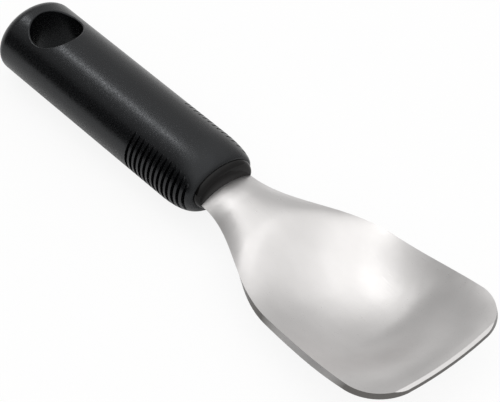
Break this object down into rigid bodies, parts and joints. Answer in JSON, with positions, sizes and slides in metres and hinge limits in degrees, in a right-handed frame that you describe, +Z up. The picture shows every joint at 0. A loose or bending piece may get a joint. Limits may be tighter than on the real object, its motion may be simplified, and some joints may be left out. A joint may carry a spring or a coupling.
{
  "type": "ice cream spade",
  "caption": "Ice cream spade with a dished satin steel blade, a glossy black collar and a soft finned grip with a hanging hole",
  "frame": {"origin": "Under the middle of the spade's length, on the surface it rests on", "axes": "+X from the rear of the grip to the front edge of the blade, +Z up out of the dish"},
  "size_m": [0.2314, 0.0664, 0.028],
  "materials": {
    "steel": "satin, with a fine lengthwise grain",
    "gloss_plastic": "polished",
    "soft_rubber": "matt, with a fine sandy texture"
  },
  "bodies": {
    "root": {"blade": "steel", "collar": "gloss_plastic", "grip": "soft_rubber"}
  },
  "joints": []
}
